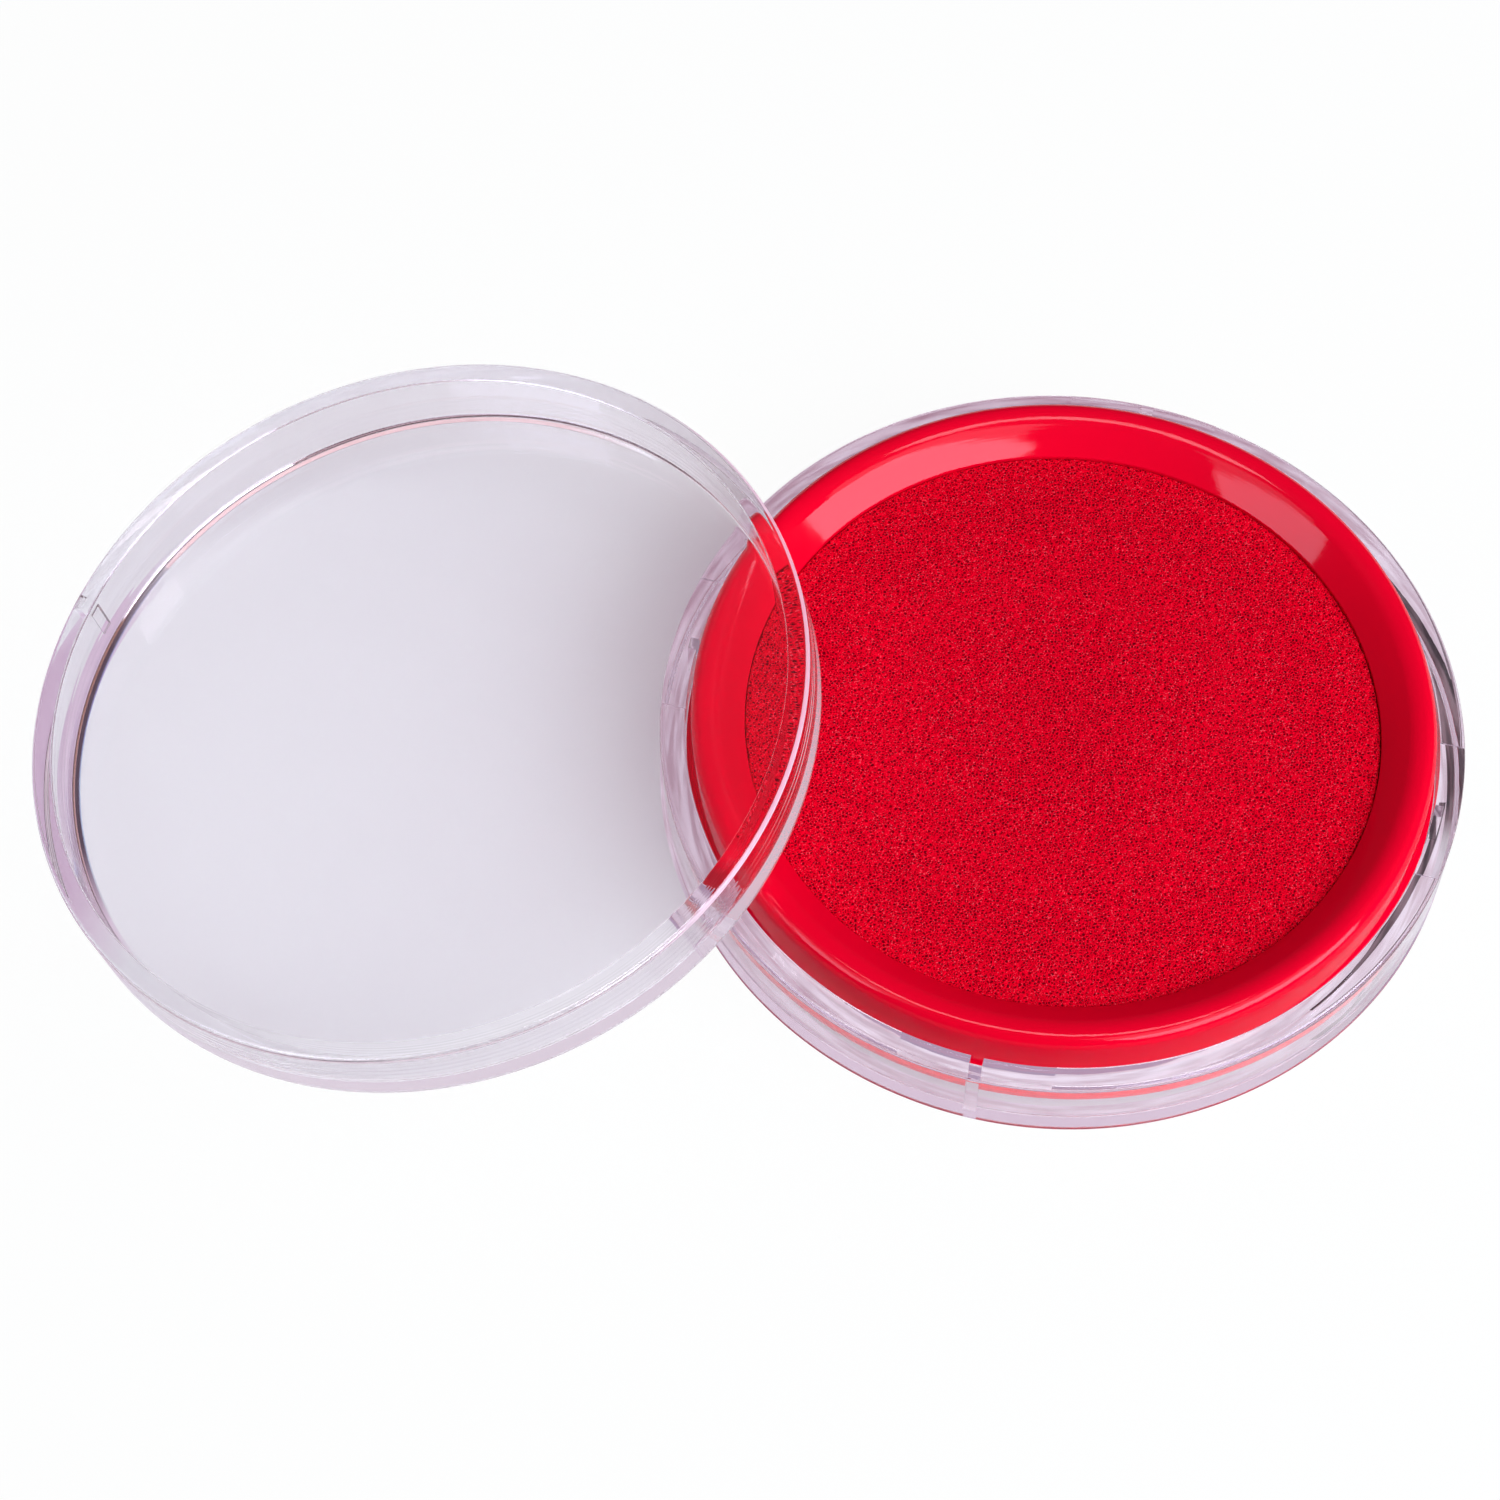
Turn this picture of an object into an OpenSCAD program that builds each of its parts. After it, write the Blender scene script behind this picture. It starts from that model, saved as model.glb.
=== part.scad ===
// Round seal paste box: a clear base dish with a red tray of inked foam, and its clear lid.
// The lid is off. It lies hollow side up, its low edge on the table and its face on the tray's rim.
// Millimetres, +Z up. The origin is the centre of the base's underside, on the table.

/* [Base dish] */
// Outer diameter of the base at its foot
base_d = 86; // [78:0.5:110]
// Height of the base from the table to its rim
base_h = 10.2; // [9:0.1:16]
// Thickness of the base's wall at the rim
base_wall = 2.7; // [2:0.1:4]
// Thickness of the base's floor
base_floor = 1.2; // [0.8:0.1:2]

/* [Lid] */
// Height of the lid from its closed face to its rim
lid_h = 8.2; // [6.5:0.1:14]
// Thickness of the lid's closed face
lid_plate = 1.2; // [0.8:0.1:2]
// How far the lid's wall stands in from the base's wall at the foot
lid_inset = 0.45; // [0:0.05:0.8]
// Radial clearance between the lid's bore and the tray's rim
lid_gap = 0.55; // [0.2:0.05:0.8]

/* [Both dishes] */
// Draft of the moulded walls, in degrees
draft = 1; // [0:0.25:2]
// Rounding of the closed face's outer edge
foot_round = 0.5; // [0.2:0.05:0.7]
// Rounding of the rim's outer edge
rim_round = 0.6; // [0.2:0.05:0.8]
// Rounding of the rim's inner edge
bore_round = 0.25; // [0.1:0.05:0.4]
// Fillet between the floor and the inside of the wall
corner_round = 0.8; // [0.3:0.1:1.2]

/* [Lid's gate recess] */
// Width of the small recess where the lid was fed in its mould
gate_w = 1.6; // [1:0.1:3]
// Height of the recess
gate_h = 4; // [2:0.1:5]
// Depth of the recess into the wall
gate_depth = 0.35; // [0.1:0.05:0.6]
// Height of the recess's lower end above the lid's closed face
gate_lift = 2; // [1.5:0.1:2.5]
// Direction of the recess on the lid, as it lies
lid_turn = 156; // [0:1:360]

/* [Keyways in the base] */
// Number of keyways around the bore
key_count = 4; // [2:1:6]
// Width of a keyway
key_w = 1.35; // [0.8:0.05:3]
// Depth of a keyway into the wall
key_depth = 0.9; // [0.4:0.1:1.2]
// Width of the stepped length of rim around each keyway
land_w = 16.4; // [8:0.2:24]
// Depth of the step in the rim
land_step = 0.25; // [0.1:0.05:0.5]
// Direction of the first keyway
key_turn = 75.5; // [0:0.5:90]

/* [Tray] */
// Radial clearance between the tray and the base's bore
tray_gap = 0.5; // [0.3:0.05:0.8]
// Height of the tray's crown above the base's rim
tray_rise = 3.8; // [2.5:0.1:4.2]
// Width of the tray's rim from the foam's well to its outside
tray_rim_w = 5.75; // [5.2:0.05:9]
// Width of the sloping inner part of the rim
slope_w = 2.4; // [1.5:0.1:2.6]
// Steepness of the sloping inner part, in degrees
slope_deg = 41; // [30:1:50]
// Rounding of the crown's outer edge
crown_round = 1.4; // [1.3:0.05:1.6]
// Rounding of the lip at the mouth of the foam's well
lip_round = 0.25; // [0.1:0.05:0.4]
// Thickness of the tray's skin
tray_skin = 1.1; // [0.8:0.05:1.2]
// Height of the skirt's lower edge above the base's floor
skirt_lift = 4.6; // [3:0.1:5.5]
// Height of the locating bead round the skirt's lower edge
bead_h = 1.2; // [0.8:0.1:2]
// Height of the chamfer above and below the bead
bead_chamfer = 0.3; // [0.1:0.05:0.35]
// Radial clearance between the locating bead and the base's bore
bead_gap = 0.05; // [0.02:0.01:0.2]

/* [Foam] */
// Depth of the foam's edge below the tray's crown
foam_sink = 3.1; // [2.8:0.1:4]
// Rise of the foam's face from its edge to its middle
foam_crown = 0.5; // [0.1:0.1:0.8]
// Thickness of the fine face sheet at its edge
sheet_t = 2; // [1:0.1:3]
// Rounding of the face sheet's edge
sheet_round = 0.4; // [0.2:0.1:0.9]
// Radial clearance between the foam and its well
foam_gap = 0.1; // [0.05:0.05:0.3]

/* [Lean of the lid] */
// Lean of the lid against the base, in degrees
lid_lean = 11.5; // [9:0.1:14]
// Clearance between the lid's face and the tray's crown
lean_gap = 0.3; // [0.1:0.05:0.5]

/* [Hidden] */
$fn = 96;
// Straight steps in each small rounding
steps = 5;
// Reach of a cutting shape beyond what it cuts
over = 1;

base_r = base_d / 2;
bore_r = base_r - base_wall + rise_out(base_h);
tray_r = base_r - base_wall - tray_gap;
lid_r = base_r - lid_inset;
lid_bore_r = tray_r + lid_gap;
well_r = tray_r - tray_rim_w;
foam_r = well_r - foam_gap;

crown_z = base_h + tray_rise;
arch_r = (tray_rim_w - slope_w - crown_round) / sin(slope_deg);
slope_z = crown_z - arch_r * (1 - cos(slope_deg)) - slope_w * tan(slope_deg);
tray_floor_z = base_floor + tray_skin;
skirt_z = base_floor + skirt_lift;
bead_r = bore_r - rise_out(base_h - skirt_z) - bead_gap;
sheet_top_z = crown_z - foam_sink;
sheet_z = sheet_top_z - sheet_t;

// The lid's low edge stands on the table, and its face clears the crown by lean_gap.
lid_z = (lid_r - foot_round) * sin(lid_lean) + foot_round * (1 - cos(lid_lean));
crown_mid_r = tray_r - crown_round;
crown_mid_z = crown_z - crown_round;
face_drop = (lid_z - crown_mid_z) * cos(lid_lean) - crown_round - lean_gap;
lid_x = face_drop / sin(lid_lean) - crown_mid_r;

// How much wider a drafted wall is at a height above its narrow end
function rise_out(height) = height * tan(draft);

// Points along an arc about [x, y], from one angle to another
function arc(x, y, radius, from, to, count = steps) =
    [for (i = [0 : count]) let (a = from + (to - from) * i / count)
        [x + radius * cos(a), y + radius * sin(a)]];

// Half section of a dish that opens upward, with its closed face on z = 0
function dish_section(foot_r, mouth_r, height, floor_t) =
    let (rim_r = foot_r + rise_out(height),
         corner_r = mouth_r - rise_out(height - floor_t))
    concat(
        [[0, 0]],
        arc(foot_r - foot_round, foot_round, foot_round, -90, 0),
        arc(rim_r - rim_round, height - rim_round, rim_round, 0, 90),
        arc(mouth_r + bore_round, height - bore_round, bore_round, 90, 180),
        arc(corner_r - corner_round, floor_t + corner_round, corner_round, 0, -90),
        [[0, floor_t]]);

// A clear moulded dish
module dish(foot_r, mouth_r, height, floor_t) {
    rotate_extrude()
        polygon(dish_section(foot_r, mouth_r, height, floor_t));
}

// Cutter for one keyway down the base's bore and the stepped length of rim around it, about +X
module keyway() {
    start_r = bore_r - corner_round - over;
    translate([start_r, -key_w / 2, base_floor])
        cube([bore_r + key_depth - start_r, key_w, base_h]);
    translate([0, -land_w / 2, base_h - land_step])
        cube([base_r + rise_out(base_h) + over, land_w, land_step + over]);
}

// Cutter for the lid's gate recess, about +X
module gate_recess() {
    foot_r = lid_r + rise_out(gate_lift);
    translate([foot_r - gate_depth, -gate_w / 2, gate_lift])
        cube([gate_depth + over, gate_w, gate_h]);
}

// Half section of the tray: a well for the foam, a domed rim and a skirt with its bead
function tray_section() =
    let (skin = tray_skin,
         well_z = tray_floor_z + corner_round,
         lip_z = slope_z - lip_round * tan((90 - slope_deg) / 2),
         arch_z = crown_z - arch_r,
         turn = 90 / (2 * steps),
         mitre_z = slope_z - skin * cos(slope_deg) + (skin - skin * sin(slope_deg)) * tan(slope_deg))
    concat(
        [[0, tray_floor_z]],
        arc(well_r - corner_round, well_z, corner_round, -90, 0),
        arc(well_r + lip_round, lip_z, lip_round, 180, 90 + slope_deg),
        arc(crown_mid_r, arch_z, arch_r, 90 + slope_deg, 90, 2 * steps),
        arc(crown_mid_r, crown_mid_z, crown_round, 90 - turn, 0, 2 * steps - 1),
        [[tray_r, skirt_z + bead_h],
         [bead_r, skirt_z + bead_h - bead_chamfer],
         [bead_r, skirt_z + bead_chamfer],
         [tray_r, skirt_z],
         [tray_r - skin, skirt_z]],
        arc(crown_mid_r, crown_mid_z, crown_round - skin, 0, 90 - 2 * turn, steps - 1),
        arc(crown_mid_r, arch_z, arch_r - skin, 90, 90 + slope_deg),
        [[well_r + skin, mitre_z],
         [well_r + skin, base_floor],
         [0, base_floor]]);

// Half section of the face sheet, domed on top
function sheet_section() =
    let (edge_z = sheet_top_z - sheet_round,
         flat_r = foam_r - sheet_round)
    concat(
        [[0, sheet_z], [foam_r, sheet_z]],
        arc(flat_r, edge_z, sheet_round, 0, 90),
        [for (i = [1 : steps]) let (s = 1 - i / steps)
            [flat_r * s, sheet_top_z + foam_crown * (1 - s * s)]]);

module base_shell() {
    color([0.86, 0.83, 0.88, 0.35])
        rotate([0, 0, key_turn])
            difference() {
                dish(base_r, bore_r, base_h, base_floor);
                for (k = [0 : key_count - 1])
                    rotate([0, 0, k * 360 / key_count])
                        keyway();
            }
}

module ink_tray() {
    color([0.93, 0.01, 0.13])
        rotate_extrude()
            polygon(tray_section());
}

module foam_core() {
    color([0.6, 0.02, 0.12])
        translate([0, 0, tray_floor_z])
            cylinder(r = foam_r - corner_round, h = sheet_z - tray_floor_z);
}

module foam_face() {
    color([0.8, 0.01, 0.14])
        rotate_extrude()
            polygon(sheet_section());
}

module lid() {
    color([0.86, 0.83, 0.88, 0.35])
        translate([lid_x, 0, lid_z])
            rotate([0, -lid_lean, 0])
                rotate([0, 0, lid_turn])
                    difference() {
                        dish(lid_r, lid_bore_r, lid_h, lid_plate);
                        gate_recess();
                    }
}

base_shell();
ink_tray();
foam_core();
foam_face();
lid();
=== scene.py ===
"""Round seal paste box: a clear base dish with a red tray of inked foam, and its clear lid beside it."""
import math

import bmesh
import bpy
import numpy as np
from mathutils import Matrix, Vector, noise


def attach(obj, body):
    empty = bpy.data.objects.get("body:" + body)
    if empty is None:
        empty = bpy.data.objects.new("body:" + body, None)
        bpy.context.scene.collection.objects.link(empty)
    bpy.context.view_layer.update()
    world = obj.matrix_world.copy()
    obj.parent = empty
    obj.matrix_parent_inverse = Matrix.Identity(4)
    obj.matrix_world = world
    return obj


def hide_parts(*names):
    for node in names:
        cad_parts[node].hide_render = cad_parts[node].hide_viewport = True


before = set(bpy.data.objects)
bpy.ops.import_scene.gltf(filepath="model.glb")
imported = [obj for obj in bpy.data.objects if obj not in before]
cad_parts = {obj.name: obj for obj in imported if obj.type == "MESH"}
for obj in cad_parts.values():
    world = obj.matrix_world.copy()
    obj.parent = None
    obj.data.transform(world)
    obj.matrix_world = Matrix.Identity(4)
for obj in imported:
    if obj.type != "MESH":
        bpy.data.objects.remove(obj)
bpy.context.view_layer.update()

MM = 0.001

# Driving sizes of the moulded pieces, in millimetres
BASE_R = 43.0
BASE_H = 10.2
BASE_WALL = 2.7
BASE_FLOOR = 1.2
LID_H = 8.2
LID_PLATE = 1.2
LID_INSET = 0.45
LID_GAP = 0.55
DRAFT = math.radians(1.0)
FOOT_ROUND = 0.5
RIM_ROUND = 0.6
BORE_ROUND = 0.25
CORNER_ROUND = 0.8
KEY_COUNT = 4
KEY_W = 1.35
KEY_DEPTH = 0.9
LAND_W = 16.4
LAND_STEP = 0.25
KEY_TURN = math.radians(75.5)
GATE_W = 1.6
GATE_H = 4.0
GATE_DEPTH = 0.35
GATE_LIFT = 2.0
LID_TURN = math.radians(156.0)
TRAY_GAP = 0.5
TRAY_RISE = 3.8
TRAY_RIM_W = 5.75
SLOPE_W = 2.4
SLOPE = math.radians(41.0)
CROWN_ROUND = 1.4
LIP_ROUND = 0.25
TRAY_SKIN = 1.1
SKIRT_LIFT = 4.6
BEAD_H = 1.2
BEAD_CHAMFER = 0.3
BEAD_GAP = 0.05
FOAM_SINK = 3.1
FOAM_CROWN = 0.5
SHEET_T = 2.0
FOAM_GAP = 0.1
LID_LEAN = math.radians(11.5)
LEAN_GAP = 0.3


def rise_out(height):
    """How much wider a drafted wall is at a height above its narrow end."""
    return height * math.tan(DRAFT)


BORE_R = BASE_R - BASE_WALL + rise_out(BASE_H)
TRAY_R = BASE_R - BASE_WALL - TRAY_GAP
LID_R = BASE_R - LID_INSET
LID_BORE_R = TRAY_R + LID_GAP
WELL_R = TRAY_R - TRAY_RIM_W
FOAM_R = WELL_R - FOAM_GAP
CROWN_Z = BASE_H + TRAY_RISE
ARCH_R = (TRAY_RIM_W - SLOPE_W - CROWN_ROUND) / math.sin(SLOPE)
SLOPE_Z = CROWN_Z - ARCH_R * (1 - math.cos(SLOPE)) - SLOPE_W * math.tan(SLOPE)
TRAY_FLOOR_Z = BASE_FLOOR + TRAY_SKIN
SKIRT_Z = BASE_FLOOR + SKIRT_LIFT
BEAD_R = BORE_R - rise_out(BASE_H - SKIRT_Z) - BEAD_GAP
SHEET_TOP_Z = CROWN_Z - FOAM_SINK
SHEET_Z = SHEET_TOP_Z - SHEET_T
LID_Z = (LID_R - FOOT_ROUND) * math.sin(LID_LEAN) + FOOT_ROUND * (1 - math.cos(LID_LEAN))
CROWN_MID_R = TRAY_R - CROWN_ROUND
CROWN_MID_Z = CROWN_Z - CROWN_ROUND
FACE_DROP = (LID_Z - CROWN_MID_Z) * math.cos(LID_LEAN) - CROWN_ROUND - LEAN_GAP
LID_X = FACE_DROP / math.sin(LID_LEAN) - CROWN_MID_R


# Camera and lamps, in metres

CAMERA_AT = Vector((-0.03359, -0.23662, 0.41942))
CAMERA_PITCH = math.radians(60.27)
CAMERA_LENS = 105.6
CAMERA_SENSOR = 36.0
CAMERA_CLIP = 0.01
# Power of a square metre of lamp for each unit of its radiance
LAMP_POWER = 4.0
COOL = (0.95, 0.92, 1.15)
# Each lamp's name, azimuth, elevation, distance, width, height, radiance, colour and role
LAMPS = (
    ("right_softbox", -43.5, 35.0, 0.8, 0.80, 0.37, 5.0, COOL, "both"),
    ("right_softbox_top", -43.5, 56.0, 0.8, 0.60, 0.26, 1.3, COOL, "both"),
    ("left_softbox", -153.5, 36.0, 0.8, 0.39, 0.30, 3.2, COOL, "gleam"),
    ("left_softbox_top", -153.5, 54.0, 0.8, 0.34, 0.22, 0.9, COOL, "gleam"),
    ("overhead_strip", -90.0, 88.0, 1.0, 0.65, 0.20, 5.0, (1.0, 0.9, 1.0), "gleam"),
    ("back_fill", 12.0, 40.0, 1.0, 0.5, 0.5, 1.2, (1.0, 0.95, 1.0), "fill"),
    ("overhead_fill", -90.0, 82.0, 1.1, 1.4, 1.2, 0.86, (1.0, 0.86, 0.97), "fill"),
)


def add_camera():
    data = bpy.data.cameras.new("photo_camera")
    data.sensor_width = CAMERA_SENSOR
    data.lens = CAMERA_LENS
    data.clip_start = CAMERA_CLIP
    camera = bpy.data.objects.new("photo_camera", data)
    camera.location = CAMERA_AT
    camera.rotation_euler = (math.pi / 2 - CAMERA_PITCH, 0.0, 0.0)
    bpy.context.scene.collection.objects.link(camera)
    bpy.context.scene.camera = camera


def add_lamp(name, azimuth, elevation, distance, width, height, radiance, colour, role):
    """A rectangular lamp that faces the tray, seen from it at an azimuth and elevation in degrees.

    A fill lamp lights matt surfaces only, and a gleam lamp shows only in gloss and through the plastic.
    """
    data = bpy.data.lights.new(name, "AREA")
    data.shape = "RECTANGLE"
    data.size = width
    data.size_y = height
    data.energy = LAMP_POWER * radiance * width * height
    data.color = colour
    lamp = bpy.data.objects.new(name, data)
    a = math.radians(azimuth)
    e = math.radians(elevation)
    towards = Vector((math.cos(e) * math.cos(a), math.cos(e) * math.sin(a), math.sin(e)))
    lamp.location = towards * distance
    lamp.rotation_euler = towards.to_track_quat("Z", "Y").to_euler()
    lamp.visible_camera = False
    lamp.visible_diffuse = role != "gleam"
    lamp.visible_glossy = role != "fill"
    lamp.visible_transmission = role != "fill"
    bpy.context.scene.collection.objects.link(lamp)


# Shader nodes. A value is a number or a socket, and a colour is a tuple or a socket.

def new_material(name):
    material = bpy.data.materials.new(name)
    material.use_nodes = True
    tree = material.node_tree
    tree.nodes.clear()
    return material, tree, tree.nodes.new("ShaderNodeOutputMaterial").inputs["Surface"]


def put(tree, socket, value):
    """Gives a socket a constant, or joins another socket to it."""
    if isinstance(value, bpy.types.NodeSocket):
        tree.links.new(value, socket)
    elif socket.type == "RGBA":
        socket.default_value = (*value, 1)
    else:
        socket.default_value = value


def add_math(tree, operation, *values):
    node = tree.nodes.new("ShaderNodeMath")
    node.operation = operation
    for socket, value in zip(node.inputs, values):
        put(tree, socket, value)
    return node.outputs[0]


def add_vector_math(tree, operation, *values):
    node = tree.nodes.new("ShaderNodeVectorMath")
    node.operation = operation
    for socket, value in zip(node.inputs, values):
        put(tree, socket, value)
    return node.outputs["Value" if operation in ("LENGTH", "DISTANCE") else "Vector"]


def add_place(tree):
    """The place of a point of the object, in metres."""
    return tree.nodes.new("ShaderNodeTexCoord").outputs["Object"]


def add_axes(tree, place):
    """The X, Y and Z of a place."""
    split = tree.nodes.new("ShaderNodeSeparateXYZ")
    tree.links.new(place, split.inputs[0])
    return split.outputs


def add_range(tree, source, low, high, to_low=0.0, to_high=1.0):
    """Maps a value from one range to another, held at the ends."""
    mapped = tree.nodes.new("ShaderNodeMapRange")
    mapped.inputs["From Min"].default_value = low
    mapped.inputs["From Max"].default_value = high
    mapped.inputs["To Min"].default_value = to_low
    mapped.inputs["To Max"].default_value = to_high
    tree.links.new(source, mapped.inputs["Value"])
    return mapped.outputs["Result"]


def add_rise(tree, source, limits):
    """Zero below a range of millimetres, one above it, and even between."""
    return add_range(tree, source, limits[0] * MM, limits[1] * MM)


def add_fall(tree, source, limits):
    """One below a range of millimetres, zero above it, and even between."""
    return add_range(tree, source, limits[0] * MM, limits[1] * MM, 1.0, 0.0)


def add_band(tree, source, limits):
    """One inside a range of millimetres, and zero outside it."""
    above = add_math(tree, "GREATER_THAN", source, limits[0] * MM)
    below = add_math(tree, "LESS_THAN", source, limits[1] * MM)
    return add_math(tree, "MULTIPLY", above, below)


def add_blend(tree, share, first, second):
    """Mixes two colours."""
    mix = tree.nodes.new("ShaderNodeMix")
    mix.data_type = "RGBA"
    tree.links.new(share, mix.inputs[0])
    put(tree, mix.inputs[6], first)
    put(tree, mix.inputs[7], second)
    return mix.outputs[2]


def add_shader(tree, kind, colour):
    """A shader of one colour."""
    shader = tree.nodes.new(kind)
    put(tree, shader.inputs["Color"], colour)
    return shader.outputs[0]


def add_mix(tree, share, first, second):
    """Mixes two shaders."""
    mix = tree.nodes.new("ShaderNodeMixShader")
    for socket, source in zip(mix.inputs, (share, first, second)):
        tree.links.new(source, socket)
    return mix.outputs[0]


def add_noise(tree, scale, detail, roughness=0.5, place=None):
    """Noise at a place, or at the place of each point of the object."""
    texture = tree.nodes.new("ShaderNodeTexNoise")
    texture.inputs["Scale"].default_value = scale
    texture.inputs["Detail"].default_value = detail
    texture.inputs["Roughness"].default_value = roughness
    tree.links.new(add_place(tree) if place is None else place, texture.inputs["Vector"])
    return texture.outputs["Fac"]


def add_bump(tree, height, depth, before=None):
    """A normal from a height, for a depth in millimetres, on top of an earlier normal if there is one."""
    bump = tree.nodes.new("ShaderNodeBump")
    bump.inputs["Distance"].default_value = depth * MM
    tree.links.new(height, bump.inputs["Height"])
    if before is not None:
        tree.links.new(before, bump.inputs["Normal"])
    return bump.outputs["Normal"]


def add_attribute(tree, name):
    """The outputs of a mark that the mesh carries."""
    mark = tree.nodes.new("ShaderNodeAttribute")
    mark.attribute_name = name
    return mark.outputs


def ring_coordinates(tree, along, outward):
    """Coordinates for marks that run round the part's axis, and the distance from that axis."""
    flat = add_vector_math(tree, "MULTIPLY", add_place(tree), (1, 1, 0))
    radius = add_vector_math(tree, "LENGTH", flat)
    way = add_vector_math(tree, "NORMALIZE", flat)
    turned = add_vector_math(tree, "MULTIPLY", way, (along, along, along))
    lift = tree.nodes.new("ShaderNodeCombineXYZ")
    tree.links.new(add_math(tree, "MULTIPLY", radius, outward), lift.inputs["Z"])
    return add_vector_math(tree, "ADD", turned, lift.outputs["Vector"]), radius


# The floor and the room. Radii, places and the ranges of X and Y are in millimetres.

FLOOR_SIZE = 4000.0
FLOOR_DROP = 0.05
# Painted light and shade, seen only through the plastic: a painted glow under the base's wall, painted
# shade at the feet of base and lid, and painted shade to the right of the base
GLOW_RING = (BORE_R - 2.0, BASE_R + 0.3)
FOOT_RING = (BASE_R - 1.0, BASE_R + 0.3)
FOOT_Y = (-22.0, -10.0)
LID_FOOT_RING = (39.4, 43.6)
LID_FOOT_X = (LID_X - 38.0, LID_X - 28.0)
SHADE_RING = (BORE_R - 2.0, BASE_R + 3.0)
SHADE_X = (10.0, 22.0)
CRESCENT_AT = (-1.0, -0.1)
CRESCENT_Y = (-16.0, -8.0)
STREAK_AT = (-2.7, 4.7)
STREAK_RING = (44.8, 45.5)
STREAK_Y = (-31.0, -6.0)
# Scales of the fine lines of painted glow and painted shade under the wall, round it and outward, and the
# range of noise that they show
LINES_ROUND = 5.0
LINES_OUTWARD = 2200.0
LINES_NOISE = (0.38, 0.62)
PAPER = (0.80, 0.95, 0.81)
# Colours of the painted glow under the wall, the painted shade at the feet of base and lid, the even
# sheet, and the painted shade to the right
GLOW = ((0.60, 0.32, 0.47), (1.0, 0.78, 0.98))
FOOT_SHADE = (0.42, 0.28, 0.43)
LID_FOOT_SHADE = (0.60, 0.38, 0.58)
SHEET_TINT = (0.91, 0.62, 0.84)
SHADE_TINT = ((0.03, 0.01, 0.02), (0.25, 0.15, 0.19))
# How much of the paper each tint, painted glow and painted shade hides, seen through the plastic
SHEET_SHARE = 0.25
GLOW_SHARE = 0.6
FOOT_SHARE = 0.9
LID_FOOT_SHARE = 0.8
SHADE_SHARE = 0.95
# How much of the paper plain white hides from the camera
WHITE_SHARE = 0.95
WHITE = (1.0, 1.0, 1.0)
# Reach of the dark parts of the room, to the left and right and overhead, as parts of a unit sphere
ROOM_SIDE = (0.30, 0.60)
ROOM_TOP = (0.55, 0.80)
ROOM_TINT = (0.86, 0.62, 0.70)
ROOM_DARK = (0.10, 0.06, 0.08)
ROOM_DIM = (0.06, 0.05, 0.06)
BACKDROP = (0.98, 0.98, 0.98)


def distance_from(tree, x, y):
    """How far a point of the floor is from a place on it that is given in millimetres."""
    return add_vector_math(tree, "DISTANCE", add_place(tree), (x * MM, y * MM, 0))


def floor_marks(tree):
    """Where the floor has a painted glow, painted shade at the feet of base and lid, and painted shade to
    the right.
    """
    x, y, _ = add_axes(tree, add_place(tree))
    out = distance_from(tree, 0, 0)
    glow = add_band(tree, out, GLOW_RING)
    foot = add_math(tree, "MULTIPLY", add_band(tree, out, FOOT_RING), add_fall(tree, y, FOOT_Y))
    lid_ring = add_band(tree, distance_from(tree, LID_X, 0), LID_FOOT_RING)
    lid_foot = add_math(tree, "MULTIPLY", lid_ring, add_fall(tree, x, LID_FOOT_X))
    beyond = add_math(tree, "GREATER_THAN", distance_from(tree, *CRESCENT_AT), BASE_R * MM)
    crescent = add_math(tree, "MULTIPLY", beyond, add_rise(tree, y, CRESCENT_Y))
    streak_ring = add_band(tree, distance_from(tree, *STREAK_AT), STREAK_RING)
    streak = add_math(tree, "MULTIPLY", streak_ring, add_band(tree, y, STREAK_Y))
    near = add_math(tree, "MULTIPLY", add_band(tree, out, SHADE_RING), add_rise(tree, x, SHADE_X))
    shade = add_math(tree, "MULTIPLY", near, add_math(tree, "MAXIMUM", crescent, streak))
    return glow, foot, lid_foot, shade


def pale_floor():
    """White to the camera, and lilac-grey with shadows through the plastic.

    Under the base's wall it has a painted glow in fine lines, standing for the light that comes down the
    wall, with painted shade at the front, and under the lid's left edge it has painted shade too. To the
    right a crescent and a streak are painted shade.
    """
    material, tree, surface = new_material("pale_floor")
    glow, foot, lid_foot, shade = floor_marks(tree)
    ring_place, _ = ring_coordinates(tree, LINES_ROUND, LINES_OUTWARD)
    lines = add_range(tree, add_noise(tree, 1.0, 2.0, place=ring_place), *LINES_NOISE)
    # Painted glow in fine lines under the wall, painted shade at the feet, and painted shade to the right
    glow_tint = add_blend(tree, foot, add_blend(tree, lines, *GLOW), FOOT_SHADE)
    plain_tint = add_blend(tree, lid_foot, SHEET_TINT, LID_FOOT_SHADE)
    tint = add_blend(tree, glow, plain_tint, glow_tint)
    tint = add_blend(tree, shade, tint, add_blend(tree, lines, *SHADE_TINT))
    share = add_range(tree, glow, 0.0, 1.0, SHEET_SHARE, GLOW_SHARE)
    for mark, strength in ((foot, FOOT_SHARE), (lid_foot, LID_FOOT_SHARE), (shade, SHADE_SHARE)):
        share = add_math(tree, "MAXIMUM", share, add_math(tree, "MULTIPLY", mark, strength))
    path = tree.nodes.new("ShaderNodeLightPath").outputs
    seen = add_math(tree, "MAXIMUM", path["Is Glossy Ray"], path["Is Transmission Ray"])
    paper = add_shader(tree, "ShaderNodeBsdfDiffuse", PAPER)
    pale = add_shader(tree, "ShaderNodeEmission", tint)
    white = add_shader(tree, "ShaderNodeEmission", WHITE)
    tinted = add_mix(tree, add_math(tree, "MULTIPLY", seen, share), paper, pale)
    to_camera = add_math(tree, "MULTIPLY", path["Is Camera Ray"], WHITE_SHARE)
    tree.links.new(add_mix(tree, to_camera, tinted, white), surface)
    return material


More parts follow.
